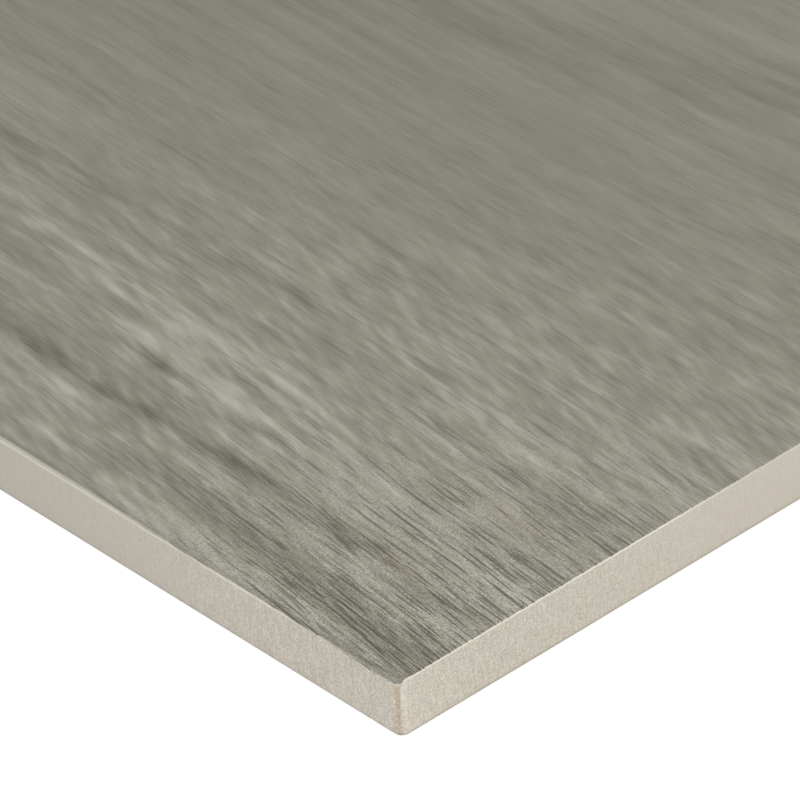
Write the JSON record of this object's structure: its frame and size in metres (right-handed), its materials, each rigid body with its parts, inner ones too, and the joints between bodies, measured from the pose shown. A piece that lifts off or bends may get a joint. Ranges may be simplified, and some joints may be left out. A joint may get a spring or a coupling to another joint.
{
  "type": "wood look porcelain plank tile",
  "caption": "Long flat pressed porcelain tile with a grey wood grain face, pale unglazed sides and a shallow pocketed back for adhesive.",
  "frame": {"origin": "middle of the back, on the plane that the back's ribs and border stand on", "axes": "+X along the plank's length, +Y across its width, +Z out of the decorated face"},
  "size_m": [0.9, 0.2, 0.009],
  "materials": {
    "glazed_porcelain": "matte"
  },
  "bodies": {
    "root": {"plank_tile": "glazed_porcelain"}
  },
  "joints": []
}
